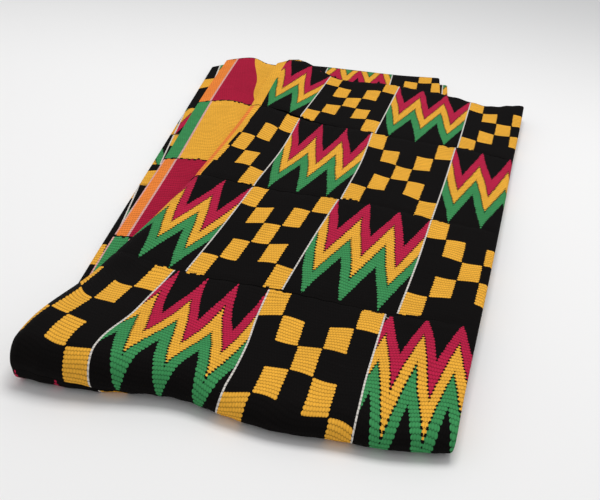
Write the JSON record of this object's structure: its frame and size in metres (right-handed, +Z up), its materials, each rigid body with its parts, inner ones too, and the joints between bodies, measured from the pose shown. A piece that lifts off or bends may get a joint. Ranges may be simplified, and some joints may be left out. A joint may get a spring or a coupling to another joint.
{
  "type": "folded kente cloth",
  "caption": "Strip-woven kente cloth folded back and forth and then in half, lying as a flat pad with a thick round fold at the front.",
  "frame": {"origin": "bottom centre of the folded cloth's box, on the surface it lies on", "axes": "+X along the woven strips, left to right; +Y away from the thick front fold; +Z up"},
  "size_m": [0.2428, 0.4286, 0.0218],
  "materials": {
    "strip_1_yarn": "matt woven cotton",
    "strip_2_yarn": "matt woven cotton",
    "strip_3_yarn": "matt woven cotton",
    "strip_4_yarn": "matt woven cotton",
    "strip_5_yarn": "matt woven cotton",
    "strip_6_yarn": "matt woven cotton",
    "strip_7_yarn": "matt woven cotton",
    "strip_8_yarn": "matt woven cotton"
  },
  "bodies": {
    "root": {"strip_1": "strip_1_yarn", "strip_2": "strip_2_yarn", "strip_3": "strip_3_yarn", "strip_4": "strip_4_yarn", "strip_5": "strip_5_yarn", "strip_6": "strip_6_yarn", "strip_7": "strip_7_yarn", "strip_8": "strip_8_yarn"}
  },
  "joints": []
}
